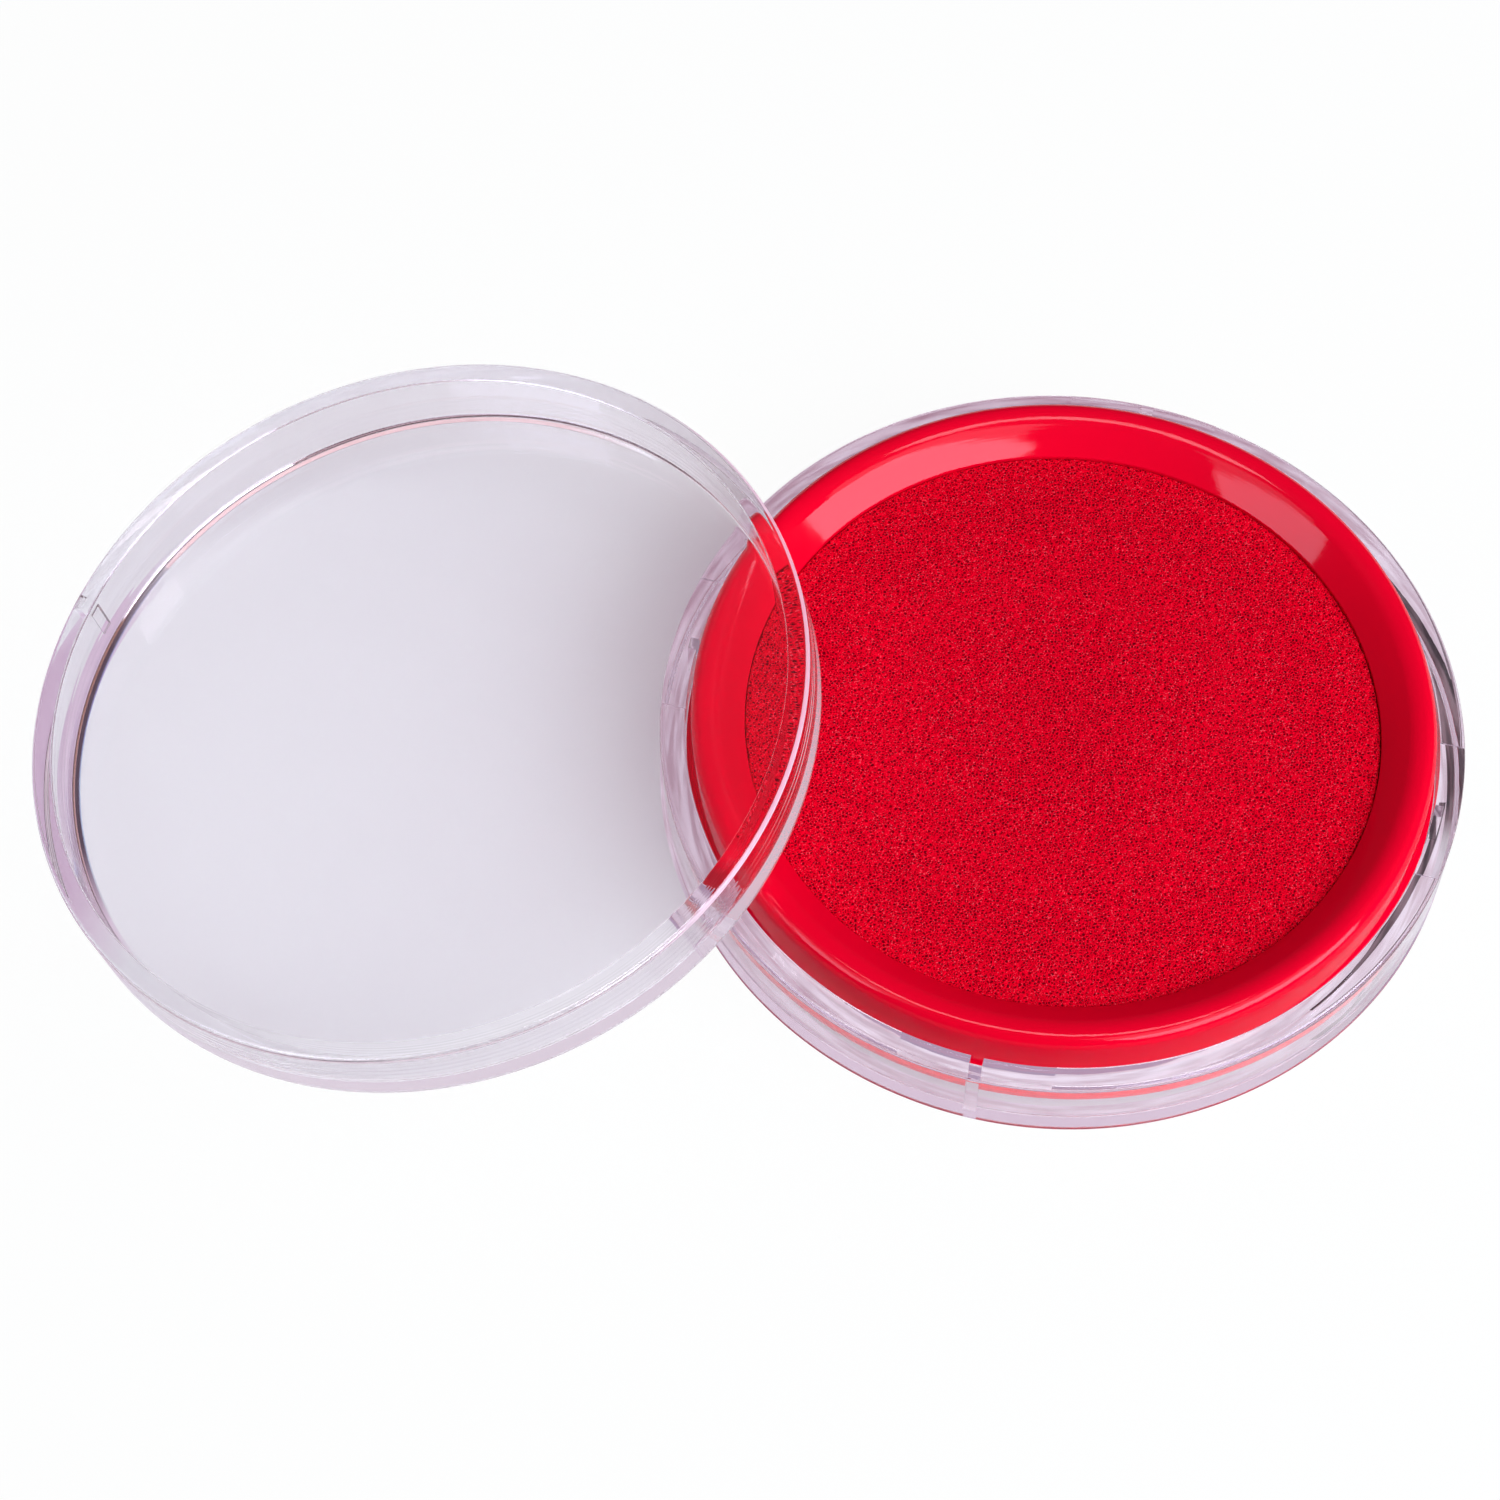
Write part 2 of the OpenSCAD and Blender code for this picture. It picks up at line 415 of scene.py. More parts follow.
def add_floor():
    mesh = bpy.data.meshes.new("floor")
    half = FLOOR_SIZE * MM / 2
    corners = [(-half, -half, 0), (half, -half, 0), (half, half, 0), (-half, half, 0)]
    mesh.from_pydata(corners, [], [(0, 1, 2, 3)])
    mesh.materials.append(pale_floor())
    floor = bpy.data.objects.new("floor", mesh)
    floor.location.z = -FLOOR_DROP * MM
    bpy.context.scene.collection.objects.link(floor)


def set_world():
    """White behind the scene for the camera, and a dim room in reflections.

    Through the plastic the room is mauve, and dark overhead and to the left and right of the table.
    """
    world = bpy.data.worlds.new("studio")
    bpy.context.scene.world = world
    world.use_nodes = True
    tree = world.node_tree
    tree.nodes.clear()
    output = tree.nodes.new("ShaderNodeOutputWorld")
    x, _, z = add_axes(tree, tree.nodes.new("ShaderNodeTexCoord").outputs["Generated"])
    side = add_range(tree, add_math(tree, "ABSOLUTE", x), *ROOM_SIDE)
    top = add_range(tree, z, *ROOM_TOP)
    away = add_math(tree, "MAXIMUM", side, top)
    room = add_shader(tree, "ShaderNodeBackground", add_blend(tree, away, ROOM_TINT, ROOM_DARK))
    dim = add_shader(tree, "ShaderNodeBackground", ROOM_DIM)
    backdrop = add_shader(tree, "ShaderNodeBackground", BACKDROP)
    path = tree.nodes.new("ShaderNodeLightPath").outputs
    around = add_mix(tree, path["Is Transmission Ray"], dim, room)
    tree.links.new(add_mix(tree, path["Is Camera Ray"], around, backdrop), output.inputs["Surface"])


# Outlines and meshes

MERGE_DISTANCE = 1e-7
DISH_SHARP = math.radians(32)
TRAY_SHARP = math.radians(40)
CORE_SHARP = math.radians(60)
NO_SHARP = math.radians(180)


def arc(x, z, radius, start, end, count):
    angles = [math.radians(start + (end - start) * i / count) for i in range(count + 1)]
    return [(x + radius * math.cos(a), z + radius * math.sin(a)) for a in angles]


def refine(points, hold, reach):
    """Adds points close to the ends of each long side, so shading stays flat there, and between them."""
    result = [points[0]]
    for a, b in zip(points, points[1:]):
        length = math.dist(a, b)
        if length > 4 * hold:
            count = max(1, math.ceil((length - 2 * hold) / reach))
            marks = [hold + (length - 2 * hold) * i / count for i in range(count + 1)]
            for m in marks:
                x = a[0] + (b[0] - a[0]) * m / length
                z = a[1] + (b[1] - a[1]) * m / length
                result.append((x, z))
        result.append(b)
    return result


def link_mesh(name, vertices, faces, sharp):
    """A smooth-shaded object from vertices in metres, with doubled points merged."""
    mesh = bpy.data.meshes.new(name)
    mesh.from_pydata([tuple(v) for v in vertices], [], faces)
    bm = bmesh.new()
    bm.from_mesh(mesh)
    bmesh.ops.remove_doubles(bm, verts=bm.verts, dist=MERGE_DISTANCE)
    bmesh.ops.recalc_face_normals(bm, faces=bm.faces)
    bm.to_mesh(mesh)
    bm.free()
    mesh.shade_smooth()
    mesh.set_sharp_from_angle(angle=sharp)
    piece = bpy.data.objects.new(name, mesh)
    bpy.context.scene.collection.objects.link(piece)
    return piece


def ring_faces(columns, rows):
    """Quads between neighbouring columns of a closed ring of columns."""
    faces = []
    for c in range(columns):
        here = c * rows
        there = ((c + 1) % columns) * rows
        faces += [(here + r, there + r, there + r + 1, here + r + 1) for r in range(rows - 1)]
    return faces


# The two clear dishes

ROUND_STEPS = 10
# Distance of the holding points from an edge, and the longest side, of the outside, the bore and the floor
HOLD = 0.06
OUTSIDE_REACH = 2.5
BORE_REACH = 1.0
FLOOR_REACH = 4.0
# Faint tool rings in the lid's bore
RING_COUNT = 3
RING_STEPS = 8
RING_PITCH = 0.9
RING_DEPTH = 0.005
RING_LIFT = 0.4
# Waves of the moulded walls: their length, and how far apart in the noise the two dishes are
WAVE_LENGTH = 5.0
WAVE_APART = 40.0
BASE_SEED = 1
LID_SEED = 2
# The finer waves, as parts of the coarse ones
FINE_LENGTH = 0.3
FINE_HEIGHT = 0.35
# How far inside the bore the waves and the wall's mark start
WALL_MARGIN = 2.0
BASE_WAVE = 0.012
LID_WAVE = 0.002
# Height above which each wall is marked
BASE_WALL_Z = 2.0
LID_WALL_Z = 0.0
COLUMNS_KEY = 4
COLUMNS_LAND = 22
COLUMNS_PLAIN = 84
COLUMNS_LID = 500
# Colours of the painted reflection lines and the painted highlight on the lid's fillet and rim, and how
# strong each is
DARK_LINE = (0.03, 0.015, 0.02)
BLUE_FRINGE = (0.08, 0.20, 0.50)
ORANGE_FRINGE = (0.60, 0.30, 0.18)
CORAL_LINE = (0.95, 0.62, 0.56)
RIM_LINE = (1.0, 0.72, 0.80)
DARK_SHARE = 0.85
BLUE_SHARE = 0.6
ORANGE_SHARE = 0.4
CORAL_SHARE = 0.6
RIM_SHARE = 0.6
# Directions between which a line rises and falls, in degrees from the left and clockwise from above
DARK_TURN = (-30.0, -15.0, 22.0, 52.0)
CORAL_TURN = (25.0, 45.0, 110.0, 125.0)
# How far to the right the rim's painted highlight rises, as a part of the lid's radius, and its width
RIM_LINE_X = (0.55, 0.75)
RIM_LINE_W = 0.4
# Heights above the lid's closed face at which the painted lines on the fillet change
LINE_START = 0.005
BLUE_TOP = 0.02
CORAL_TOP = 0.2
DARK_TOP = 0.3
LINE_END = 0.45
NO_LINE = (0, 0, 0, 0)


def dish_section(foot_r, mouth_r, height, floor_t, ring_count):
    """Half section of a dish in three runs: its outside, its bore with faint tool rings, and its floor."""
    rim_r = foot_r + rise_out(height)
    corner_r = mouth_r - rise_out(height - floor_t)
    outside = [(0, 0)]
    outside += arc(foot_r - FOOT_ROUND, FOOT_ROUND, FOOT_ROUND, -90, 0, ROUND_STEPS)
    for z in (GATE_LIFT, GATE_LIFT + GATE_H):
        outside += 2 * [(foot_r + rise_out(z), z)]
    outside += arc(rim_r - RIM_ROUND, height - RIM_ROUND, RIM_ROUND, 0, 90, ROUND_STEPS)
    bore = arc(mouth_r + BORE_ROUND, height - BORE_ROUND, BORE_ROUND, 90, 180, ROUND_STEPS // 2)
    for i in range(RING_STEPS * ring_count, -1, -1):
        z = floor_t + CORNER_ROUND + RING_LIFT + RING_PITCH * i / RING_STEPS
        swell = RING_DEPTH * math.sin(2 * math.pi * i / RING_STEPS)
        bore.append((mouth_r - rise_out(height - z) + swell, z))
    bore += arc(corner_r - CORNER_ROUND, floor_t + CORNER_ROUND, CORNER_ROUND, 0, -90, ROUND_STEPS)
    floor = [(corner_r - CORNER_ROUND, floor_t), (0, floor_t)]
    floor = refine(floor, HOLD, FLOOR_REACH)[1:]
    return refine(outside, HOLD, OUTSIDE_REACH), refine(bore, HOLD, BORE_REACH), floor


def across(centre, offset, least_r):
    """The angle, at a radius, of a line beside the radius at centre, set off sideways from it."""
    return lambda r: centre + math.asin(offset / max(r, least_r))


def spread(start, end, count):
    """Angles between two lines across the ring, both of them included."""
    return [lambda r, s=s: start(r) + (end(r) - start(r)) * s for s in np.linspace(0, 1, count)]


def wave(x, y, z, seed, height):
    """A small uneven offset of a moulded wall, in millimetres, up to about a height."""
    place = Vector((x, y, z + WAVE_APART * seed))
    coarse = noise.noise(place / WAVE_LENGTH)
    fine = noise.noise(place / (FINE_LENGTH * WAVE_LENGTH))
    return height * (coarse + FINE_HEIGHT * fine)


def sweep_round(name, columns, wall_r, wall_z, place, seed, wave_height, line_at):
    """A dish from columns, each a half section and its angle at a radius. Beyond wall_r it is uneven.

    Its points carry two marks. "wall" is one beyond wall_r and above wall_z. "corner" is the colour and
    the strength of the painted reflection line or painted highlight that line_at gives for a point.
    """
    vertices = []
    for section, angle_at in columns:
        for r, z in section:
            a = angle_at(r)
            x = r * math.cos(a)
            y = r * math.sin(a)
            swell = 1.0 + wave(x, y, z, seed, wave_height) / r if r > wall_r else 1.0
            vertices.append(place @ (Vector((x * swell, y * swell, z)) * MM))
    dish = link_mesh(name, vertices, ring_faces(len(columns), len(columns[0][0])), DISH_SHARP)
    back = place.inverted()
    spots = [back @ point.co / MM for point in dish.data.vertices]
    walls = [1.0 if p.xy.length > wall_r and p.z > wall_z else 0.0 for p in spots]
    dish.data.attributes.new("wall", "FLOAT", "POINT").data.foreach_set("value", walls)
    lines = []
    for point, spot in zip(dish.data.vertices, spots):
        lines += line_at(spot, point.co / MM)
    # The corner mark holds the painted reflection lines and the painted highlight
    dish.data.attributes.new("corner", "FLOAT_COLOR", "POINT").data.foreach_set("color", lines)
    return dish


def no_line(spot, at):
    """The base shows no line at any point."""
    return NO_LINE


def make_base():
    """The base dish, with keyways down its bore and a stepped length of rim around each."""
    outside, bore, floor = dish_section(BASE_R, BORE_R, BASE_H, BASE_FLOOR, 0)
    step_z = BASE_H - LAND_STEP
    slot_r = BORE_R + KEY_DEPTH
    drop = step_z - BASE_FLOOR
    run = drop + slot_r - floor[0][0]
    slot = []
    for i in range(len(bore)):
        s = run * i / (len(bore) - 1)
        slot.append((slot_r, step_z - s) if s <= drop else (slot_r - (s - drop), BASE_FLOOR))
    plain = outside + bore + floor
    land = [(r, min(z, step_z)) for r, z in plain]
    keyed = [(r, min(z, step_z)) for r, z in outside] + slot + floor
    least_r = BORE_R - 2 * CORNER_ROUND
    pitch = 2 * math.pi / KEY_COUNT
    columns = []
    for k in range(KEY_COUNT):
        centre = k * pitch
        marks = [across(centre, y, least_r) for y in (-LAND_W / 2, -KEY_W / 2, KEY_W / 2, LAND_W / 2)]
        next_land = across(centre + pitch, -LAND_W / 2, least_r)
        columns += [(land, a) for a in spread(marks[0], marks[1], COLUMNS_LAND)]
        columns += [(keyed, a) for a in spread(marks[1], marks[2], COLUMNS_KEY)]
        columns += [(land, a) for a in spread(marks[2], marks[3], COLUMNS_LAND)]
        columns += [(plain, a) for a in spread(marks[3], next_land, COLUMNS_PLAIN)]
    place = Matrix.Rotation(KEY_TURN, 4, "Z")
    wall_r = BORE_R - WALL_MARGIN
    return sweep_round("clear_base", columns, wall_r, BASE_WALL_Z, place, BASE_SEED, BASE_WAVE, no_line)


def between_turns(turn, limits):
    """A share that rises between the first two of four limits and falls between the last two."""
    rise = (turn - limits[0]) / (limits[1] - limits[0])
    fall = (limits[3] - turn) / (limits[3] - limits[2])
    return max(0, min(1, rise, fall))


def painted_lid_line(spot, at):
    """The painted reflection line or painted highlight that the lid shows at a point, as it stands in the
    dish and as it lies in the scene.

    Its fillet has a painted dark line, standing for the dark side of the room that it shows, with painted
    coloured fringes to the left and a painted coral line behind, and the outer edge of its rim a painted
    pale highlight to the right.
    """
    rise = spot.z - LID_PLATE
    out = spot.xy.length
    if out > LID_R + rise_out(LID_H) - RIM_LINE_W and spot.z > LID_H - RIM_ROUND:
        start, end = RIM_LINE_X
        right = ((at.x - LID_X) / LID_R - start) / (end - start)
        return *RIM_LINE, RIM_SHARE * max(0, min(1, right))
    if not LINE_START < rise < LINE_END or out > LID_BORE_R:
        return NO_LINE
    turn = math.degrees(math.atan2(at.y, LID_X - at.x))
    dark = DARK_SHARE * between_turns(turn, DARK_TURN)
    coral = CORAL_SHARE * between_turns(turn, CORAL_TURN) if rise < CORAL_TOP else 0
    if coral > dark:
        return *CORAL_LINE, coral
    if rise < BLUE_TOP:
        return *BLUE_FRINGE, BLUE_SHARE * dark
    if rise < DARK_TOP:
        return *DARK_LINE, dark
    return *ORANGE_FRINGE, ORANGE_SHARE * dark


def make_lid():
    """The lid, a plain dish with a small gate recess in its outside."""
    outside, bore, floor = dish_section(LID_R, LID_BORE_R, LID_H, LID_PLATE, RING_COUNT)
    plain = outside + bore + floor
    low = [i for i, point in enumerate(outside) if point[1] == GATE_LIFT][-1]
    high = [i for i, point in enumerate(outside) if point[1] == GATE_LIFT + GATE_H][0]
    recess_r = LID_R + rise_out(GATE_LIFT) - GATE_DEPTH
    gated = [(recess_r, z) if low <= i <= high else (r, z) for i, (r, z) in enumerate(plain)]
    least_r = LID_BORE_R - 2 * CORNER_ROUND
    start = across(0, -GATE_W / 2, least_r)
    end = across(0, GATE_W / 2, least_r)
    round_again = across(2 * math.pi, -GATE_W / 2, least_r)
    columns = [(gated, a) for a in spread(start, end, COLUMNS_KEY)]
    columns += [(plain, a) for a in spread(end, round_again, COLUMNS_LID)]
    place = Matrix.Translation(Vector((LID_X, 0, LID_Z)) * MM)
    place = place @ Matrix.Rotation(-LID_LEAN, 4, "Y") @ Matrix.Rotation(LID_TURN, 4, "Z")
    wall_r = LID_BORE_R - WALL_MARGIN
    return sweep_round("clear_lid", columns, wall_r, LID_WALL_Z, place, LID_SEED, LID_WAVE, painted_lid_line)


# The red tray

TRAY_COLUMNS = 512
SMALL_STEPS = 6
BOW_STEPS = 12
ARCH_STEPS = 24
CROWN_STEPS = 20
INNER_STEPS = 8
TRAY_HOLD = 0.05
TRAY_REACH = 3.0
# How far its underside stands clear of the base's floor
TRAY_AIR = 0.03
# How far the slope's bow turns at its ends, and where the crown's rounding starts, in degrees
SLOPE_BOW = 4.5
CROWN_START = 88


def bowed(start, end, rise, count):
    """Points between two others along a shallow bow that rises to the left of the line between them."""
    length = math.dist(start, end)
    along = ((end[0] - start[0]) / length, (end[1] - start[1]) / length)
    points = []
    for i in range(1, count):
        run = length * i / count
        lift = 4 * rise * (i / count) * (1 - i / count)
        x = start[0] + along[0] * run - along[1] * lift
        z = start[1] + along[1] * run + along[0] * lift
        points.append((x, z))
    return points


def tray_section():
    """Half section of the tray: the foam's well, the domed rim and the skirt with its bead."""
    skin = TRAY_SKIN
    well_z = TRAY_FLOOR_Z + CORNER_ROUND
    arch_z = CROWN_Z - ARCH_R
    slope_deg = math.degrees(SLOPE)
    mitre_z = SLOPE_Z - skin * math.cos(SLOPE) + (skin - skin * math.sin(SLOPE)) * math.tan(SLOPE)
    lip_drop = LIP_ROUND * math.tan((math.pi / 2 - SLOPE) / 2)
    points = [(0, TRAY_FLOOR_Z)]
    points += arc(WELL_R - CORNER_ROUND, well_z, CORNER_ROUND, -90, 0, SMALL_STEPS)
    lip_end = 90 + slope_deg + SLOPE_BOW
    points += arc(WELL_R + LIP_ROUND, SLOPE_Z - lip_drop, LIP_ROUND, 180, lip_end, SMALL_STEPS)
    arch = arc(CROWN_MID_R, arch_z, ARCH_R, 90 + slope_deg - SLOPE_BOW, 90, ARCH_STEPS)
    rise = math.dist(points[-1], arch[0]) / 4 * math.tan(math.radians(SLOPE_BOW))
    points += bowed(points[-1], arch[0], rise, BOW_STEPS) + arch
    points += arc(CROWN_MID_R, CROWN_MID_Z, CROWN_ROUND, CROWN_START, 0, CROWN_STEPS)
    points += [(TRAY_R, SKIRT_Z + BEAD_H), (BEAD_R, SKIRT_Z + BEAD_H - BEAD_CHAMFER)]
    points += [(BEAD_R, SKIRT_Z + BEAD_CHAMFER), (TRAY_R, SKIRT_Z), (TRAY_R - skin, SKIRT_Z)]
    points += arc(CROWN_MID_R, CROWN_MID_Z, CROWN_ROUND - skin, 0, CROWN_START, SMALL_STEPS)
    points += arc(CROWN_MID_R, arch_z, ARCH_R - skin, 90, 90 + slope_deg, INNER_STEPS)
    underside_z = BASE_FLOOR + TRAY_AIR
    points += [(WELL_R + skin, mitre_z), (WELL_R + skin, underside_z), (0, underside_z)]
    return refine(points, TRAY_HOLD, TRAY_REACH)


def make_tray():
    section = tray_section()
    vertices = []
    for c in range(TRAY_COLUMNS):
        a = 2 * math.pi * c / TRAY_COLUMNS
        vertices += [Vector((r * math.cos(a), r * math.sin(a), z)) * MM for r, z in section]
    return link_mesh("red_tray", vertices, ring_faces(TRAY_COLUMNS, len(section)), TRAY_SHARP)


# The foam

# Spacing of the face's grid
GRAIN = 0.24
PORE_DEPTH = 0.05
PORE_SIZE = 0.9
# How steeply a pore's wall rises, how fine the roughness is, and the share of each in the depth
RIDGE_GAIN = 1.6
ROUGH_FINENESS = 2.3
RIDGE_SHARE = 0.75
ROUGH_SHARE = 0.35
# How far the torn edge stands in, the length and height of its cells, and how soon it starts
EDGE_FUZZ = 0.22
FUZZ_LENGTH = 0.4
FUZZ_SEED = 7.0
FUZZ_POWER = 60
# How far above its underside the sheet's torn side ends
SIDE_LIFT = 0.6
EDGE_GAP = 0.02
EDGE_ROUND = 0.2
EDGE_STEPS = 4
EDGE_R = WELL_R - EDGE_GAP
CORE_COLUMNS = 180
CORE_ROUND = 0.5
CORE_HOLD = 0.1
CORE_REACH = 1.2
CORE_DENT = 0.12
CORE_LUMPS = 6
CELL_SIZE = 0.34


def disc_grid(radius, cell):
    """Points of an even grid on a disc, laid in square rings, its faces and the points of its edge."""
    n = round(radius / cell)
    side = 2 * n + 1
    points = []
    for j in range(-n, n + 1):
        for i in range(-n, n + 1):
            ring = max(abs(i), abs(j))
            if ring == 0:
                points.append((0.0, 0.0))
                continue
            if abs(i) >= abs(j):
                turn = math.pi / 4 * j / i + (math.pi if i < 0 else 0)
            else:
                turn = math.pi / 2 - math.pi / 4 * i / j + (math.pi if j < 0 else 0)
            r = radius * ring / n
            points.append((r * math.cos(turn), r * math.sin(turn)))
    faces = []
    for j in range(side - 1):
        for i in range(side - 1):
            a = j * side + i
            faces.append((a, a + 1, a + side + 1, a + side))
    edge = list(range(side))
    edge += [side - 1 + side * j for j in range(1, side)]
    edge += [side * side - 1 - i for i in range(1, side)]
    edge += [side * (side - 1) - side * j for j in range(1, side - 1)]
    return points, faces, edge


def pore_depth(x, y):
    """Depth of the foam's surface at a point, from open pores between small cells."""
    place = Vector((x, y, 0.0)) / PORE_SIZE
    distances = noise.voronoi(place)[0]
    ridge = min(1.0, (distances[1] - distances[0]) * RIDGE_GAIN)
    rough = noise.noise(place * ROUGH_FINENESS)
    return PORE_DEPTH * (RIDGE_SHARE * (1 - ridge) + ROUGH_SHARE * rough)


def edge_fuzz(x, y):
    """How far the cut edge of the foam stands in at a point, from its torn cells."""
    return EDGE_FUZZ * abs(noise.noise(Vector((x, y, FUZZ_SEED)) / FUZZ_LENGTH))


def make_foam_face():
    """The face sheet, gently domed. Wet, it swells until its torn edge touches the wall of the well."""
    flat_r = EDGE_R - EDGE_ROUND
    points, faces, edge = disc_grid(flat_r, GRAIN)
    vertices = []
    for x, y in points:
        share = math.hypot(x, y) / flat_r
        z = SHEET_TOP_Z + FOAM_CROWN * (1 - share * share) - max(0.0, pore_depth(x, y))
        inset = 1 - edge_fuzz(x, y) / flat_r * share ** FUZZ_POWER
        vertices.append(Vector((x * inset, y * inset, z)) * MM)
    side = arc(flat_r, SHEET_TOP_Z - EDGE_ROUND, EDGE_ROUND, 90, 0, EDGE_STEPS)[1:]
    side += [(EDGE_R, SHEET_Z + SIDE_LIFT), (EDGE_R, SHEET_Z), (EDGE_R / 2, SHEET_Z)]
    ring = edge
    for r, z in side:
        fresh = []
        for index in edge:
            x, y = points[index]
            a = math.atan2(y, x)
            torn_r = r - edge_fuzz(x, y) if z > SHEET_Z else r
            fresh.append(len(vertices))
            vertices.append(Vector((torn_r * math.cos(a), torn_r * math.sin(a), z)) * MM)
        count = len(edge)
        faces += [(ring[i], fresh[i], fresh[(i + 1) % count], ring[(i + 1) % count]) for i in range(count)]
        ring = fresh
    faces.append(tuple(ring))
    return link_mesh("inked_face_sheet", vertices, faces, NO_SHARP)


def make_foam_core():
    """The thicker foam under the sheet, slightly uneven at its side."""
    flat_r = FOAM_R - CORNER_ROUND - CORE_ROUND
    section = [(0, TRAY_FLOOR_Z)]
    section += arc(flat_r, TRAY_FLOOR_Z + CORE_ROUND, CORE_ROUND, -90, 0, EDGE_STEPS)
    section += arc(flat_r, SHEET_Z - CORE_ROUND, CORE_ROUND, 0, 90, EDGE_STEPS)
    section += [(0, SHEET_Z)]
    section = refine(section, CORE_HOLD, CORE_REACH)
    vertices = []
    for c in range(CORE_COLUMNS):
        a = 2 * math.pi * c / CORE_COLUMNS
        x = math.cos(a)
        y = math.sin(a)
        for r, z in section:
            if r > flat_r:
                r -= CORE_DENT * abs(noise.noise(Vector((CORE_LUMPS * x, CORE_LUMPS * y, z))))
            vertices.append(Vector((r * x, r * y, z)) * MM)
    faces = ring_faces(CORE_COLUMNS, len(section))
    return link_mesh("inked_core_foam", vertices, faces, CORE_SHARP)


# Materials

PLASTIC_IOR = 1.58
PLASTIC_TINT = (0.985, 0.975, 0.985)
PLASTIC_SHADOW = (0.96, 0.955, 0.965)
FLOW_SCALE = 60.0
RIPPLE_SCALE = 420.0
# How often light is passed on before it ends in the painted glow
FLOOR_PASSES = 9
WALL_PASSES = 6
# Painted glows of the floor and the wall, standing for light carried through the plastic, each to the left
# and to the right of the strip of X where they change, so that one side is lighter or darker, and the
# depths of the surface's slow flow and fine ripple, in millimetres
BASE_FLOOR_GLOW = ((0.66, 0.50, 0.64), (0.30, 0.20, 0.25))
BASE_WALL_GLOW = ((0.34, 0.24, 0.31), (0.16, 0.09, 0.13))
BASE_TURN_X = (14.0, 28.0)
BASE_FLOW = 0.06
BASE_RIPPLE = 0.006
LID_FLOOR_GLOW = ((0.70, 0.60, 0.70), (0.70, 0.60, 0.70))
LID_WALL_GLOW = ((0.12, 0.06, 0.08), (0.90, 0.55, 0.66))
LID_TURN_X = (-45.0, -33.0)
LID_FLOW = 0.02
LID_RIPPLE = 0.0

RED_IOR = 1.5
RED_TONES = ((0.79, 0.0, 0.018), (0.82, 0.0, 0.021))
RED_ROUGHNESS = (0.04, 0.10)
# Scales of the tones, the haze and the slow flow, and of the mould's rings, round them and outward
TONE_SCALE = 35.0
HAZE_SCALE = 160.0
RED_FLOW_SCALE = 140.0
RINGS_ROUND = 4.0
RINGS_OUTWARD = 5000.0
# Ranges of the noise over which the tone and the roughness change
TONE_NOISE = (0.35, 0.65)
HAZE_NOISE = (0.3, 0.75)
# Strength of the reflections on the rim and on the skirt, and the width over which it changes
RIM_SPECULAR = 0.27
SKIRT_SPECULAR = 0.04
SATIN_W = 0.5
# Depths of the flow and the rings, in millimetres
RED_FLOW = 0.04
RED_RINGS = 0.008

# Colours of the pores, the cells' walls and their crests, the ink's red with painted shade in the pores
# and painted light on the crests, and of the painted wet glints
FACE_INK_AND_SHADE = ((0.17, 0.0, 0.006), (0.70, 0.0, 0.011), (0.97, 0.0, 0.021))
CORE_INK_AND_SHADE = ((0.12, 0.0, 0.004), (0.36, 0.0, 0.01), (0.5, 0.0, 0.02))
PAINTED_GLINT = (1.0, 0.07, 0.10)
# How far a cell's wall reaches and how high it stands in the relief, and how fine grain and painted glints
# are
CELL_EDGE = 0.30
CELL_WALL = 0.45
GRAIN_FINENESS = 1.3
GLINT_FINENESS = 2.0
# Heights of the relief at which pores open to walls and walls to crests, where painted shade gives way to
# painted light, and the noise of the painted glints
PORE_RISE = (0.48, 0.66)
CREST_RISE = (0.66, 0.92)
GLINT_RISE = (0.66, 0.76)
INK_ROUGHNESS = 0.3
INK_SPECULAR = 0.01
INK_BUMP = 0.22


def clear_plastic(name, floor_glow, wall_glow, turn, flow_depth, ripple_depth):
    """Clear moulded polystyrene with a faint lilac cast, which lets the lamps' light through.

    Light that is passed on inside it again and again ends in a painted glow, a soft colour that stands for
    light carried through the plastic, lighter or darker to one side. It ends sooner in the wall than in
    the floor. Where the mesh is marked, a painted line stands for what its edges reflect of their
    surroundings: painted reflections and a painted highlight.
    """
    material, tree, surface = new_material(name)
    shader = tree.nodes.new("ShaderNodeBsdfPrincipled")
    put(tree, shader.inputs["Base Color"], PLASTIC_TINT)
    shader.inputs["Transmission Weight"].default_value = 1.0
    shader.inputs["IOR"].default_value = PLASTIC_IOR
    shader.inputs["Roughness"].default_value = 0.0
    flow = add_bump(tree, add_noise(tree, FLOW_SCALE, 2.0), flow_depth)
    ripple = add_bump(tree, add_noise(tree, RIPPLE_SCALE, 2.0), ripple_depth, before=flow)
    tree.links.new(ripple, shader.inputs["Normal"])
    in_wall = add_math(tree, "GREATER_THAN", add_attribute(tree, "wall")["Fac"], 0.5)
    x, _, _ = add_axes(tree, add_place(tree))
    to_right = add_rise(tree, x, turn)
    floor_tone = add_blend(tree, to_right, *floor_glow)
    wall_tone = add_blend(tree, to_right, *wall_glow)
    # A painted glow, lighter or darker to one side, stands for light carried through the plastic
    painted_glow = add_shader(tree, "ShaderNodeEmission", add_blend(tree, in_wall, floor_tone, wall_tone))
    path = tree.nodes.new("ShaderNodeLightPath").outputs
    most = add_range(tree, in_wall, 0.0, 1.0, FLOOR_PASSES, WALL_PASSES)
    trapped = add_math(tree, "GREATER_THAN", path["Ray Depth"], most)
    # Painted reflection lines and a painted highlight that the mesh carries
    line = add_attribute(tree, "corner")
    lined = add_mix(tree, line["Alpha"], shader.outputs[0],
                    add_shader(tree, "ShaderNodeBsdfDiffuse", line["Color"]))
    with_glow = add_mix(tree, trapped, lined, painted_glow)
    shadow = add_shader(tree, "ShaderNodeBsdfTransparent", PLASTIC_SHADOW)
    tree.links.new(add_mix(tree, path["Is Shadow Ray"], with_glow, shadow), surface)
    return material


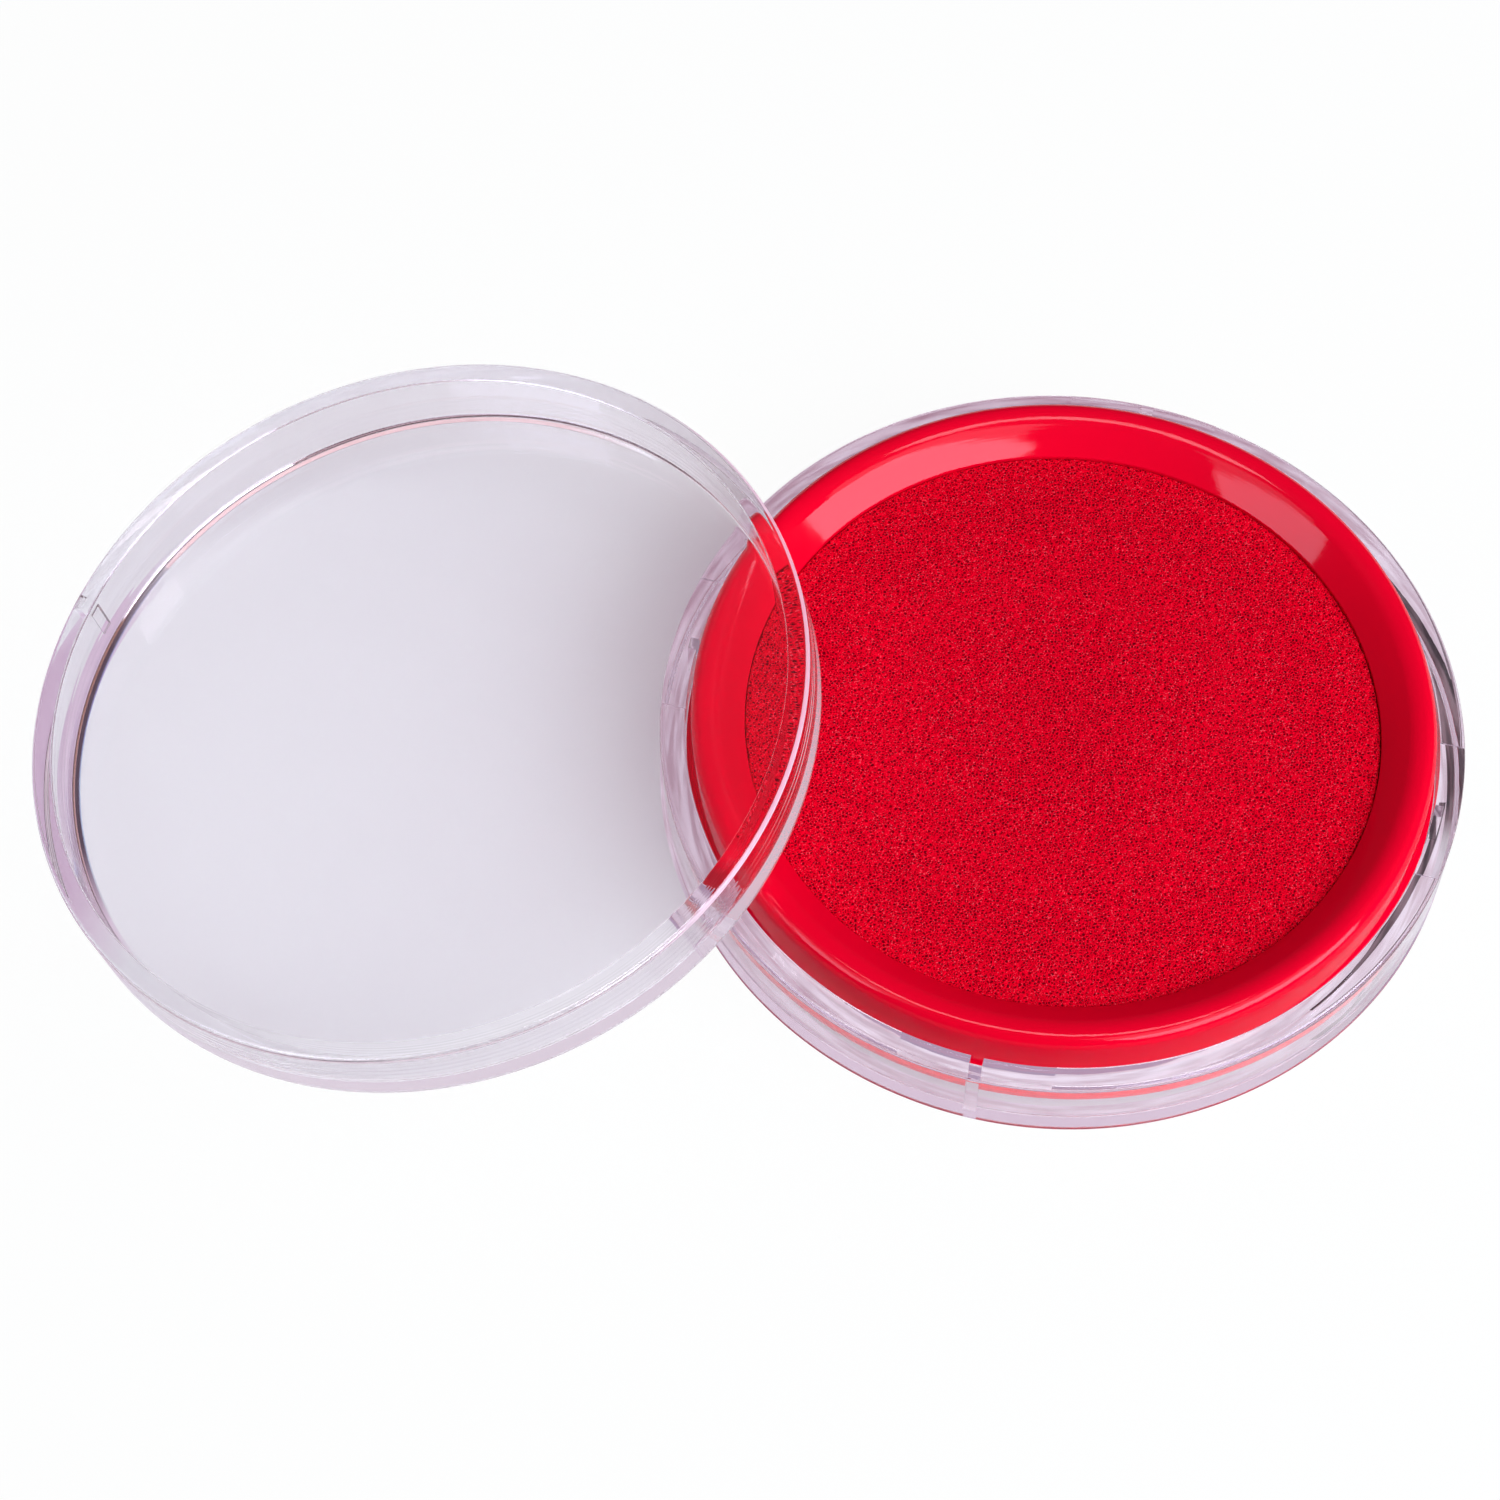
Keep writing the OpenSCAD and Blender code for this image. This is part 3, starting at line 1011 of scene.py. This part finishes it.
def red_plastic():
    """Red moulded plastic with the fine rings of its turned mould: a glossy rim and a satin skirt."""
    material, tree, surface = new_material("red_plastic")
    shader = tree.nodes.new("ShaderNodeBsdfPrincipled")
    share = add_range(tree, add_noise(tree, TONE_SCALE, 2.0), *TONE_NOISE)
    tree.links.new(add_blend(tree, share, *RED_TONES), shader.inputs["Base Color"])
    roughness = add_range(tree, add_noise(tree, HAZE_SCALE, 4.0), *HAZE_NOISE, *RED_ROUGHNESS)
    tree.links.new(roughness, shader.inputs["Roughness"])
    ring_place, radius = ring_coordinates(tree, RINGS_ROUND, RINGS_OUTWARD)
    satin = add_range(tree, radius, (TRAY_R - SATIN_W) * MM, TRAY_R * MM, RIM_SPECULAR, SKIRT_SPECULAR)
    tree.links.new(satin, shader.inputs["Specular IOR Level"])
    shader.inputs["IOR"].default_value = RED_IOR
    flow = add_bump(tree, add_noise(tree, RED_FLOW_SCALE, 3.0), RED_FLOW)
    rings = add_bump(tree, add_noise(tree, 1.0, 3.0, place=ring_place), RED_RINGS, before=flow)
    tree.links.new(rings, shader.inputs["Normal"])
    tree.links.new(shader.outputs[0], surface)
    return material


def inked_foam(name, dark, middle, light):
    """Fine-pored foam wet with red ink: small pores darkened by painted shade between cell walls whose
    crests are lightened by painted light, with painted highlights of wet glints.
    """
    material, tree, surface = new_material(name)
    shader = tree.nodes.new("ShaderNodeBsdfPrincipled")
    cells = tree.nodes.new("ShaderNodeTexVoronoi")
    cells.feature = "DISTANCE_TO_EDGE"
    cells_per_metre = 1.0 / (CELL_SIZE * MM)
    cells.inputs["Scale"].default_value = cells_per_metre
    tree.links.new(add_place(tree), cells.inputs["Vector"])
    wall = add_range(tree, cells.outputs["Distance"], 0.0, CELL_EDGE, 1.0, 0.0)
    grain = add_noise(tree, GRAIN_FINENESS * cells_per_metre, 3.0, 0.65)
    height = add_math(tree, "MULTIPLY_ADD", wall, CELL_WALL, grain)
    # Over the ink's red, pores darkened by painted shade, crests lightened by painted light, and painted
    # glints
    pore = add_range(tree, height, *PORE_RISE)
    crest = add_range(tree, height, *CREST_RISE)
    painted_glint = add_range(tree, add_noise(tree, GLINT_FINENESS * cells_per_metre, 0.0), *GLINT_RISE)
    body = add_blend(tree, painted_glint, add_blend(tree, crest, middle, light), PAINTED_GLINT)
    tree.links.new(add_blend(tree, pore, dark, body), shader.inputs["Base Color"])
    shader.inputs["Roughness"].default_value = INK_ROUGHNESS
    shader.inputs["Specular IOR Level"].default_value = INK_SPECULAR
    tree.links.new(add_bump(tree, height, INK_BUMP), shader.inputs["Normal"])
    tree.links.new(shader.outputs[0], surface)
    return material


def finish_piece(piece, material, body, slot, *nodes):
    piece.data.materials.append(material)
    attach(piece, body)
    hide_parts(*nodes)


# The scene

LIGHT_BOUNCES = 24

scene = bpy.context.scene
scene.view_settings.view_transform = "Standard"
scene.cycles.max_bounces = LIGHT_BOUNCES
scene.cycles.glossy_bounces = LIGHT_BOUNCES
scene.cycles.transmission_bounces = LIGHT_BOUNCES
add_camera()
add_floor()
set_world()
for lamp_facts in LAMPS:
    add_lamp(*lamp_facts)

base_look = (BASE_FLOOR_GLOW, BASE_WALL_GLOW, BASE_TURN_X, BASE_FLOW, BASE_RIPPLE)
base_plastic = clear_plastic("clear_plastic", *base_look)
finish_piece(make_base(), base_plastic, "base", "clear_plastic", "base_shell")
lid_look = (LID_FLOOR_GLOW, LID_WALL_GLOW, LID_TURN_X, LID_FLOW, LID_RIPPLE)
lid_plastic = clear_plastic("clear_plastic_lid", *lid_look)
finish_piece(make_lid(), lid_plastic, "lid", "clear_plastic", "lid")
finish_piece(make_tray(), red_plastic(), "base", "red_plastic", "ink_tray")
face = make_foam_face()
finish_piece(face, inked_foam("inked_face", *FACE_INK_AND_SHADE), "base", "inked_face", "foam_face")
core = make_foam_core()
finish_piece(core, inked_foam("inked_core", *CORE_INK_AND_SHADE), "base", "inked_core", "foam_core")
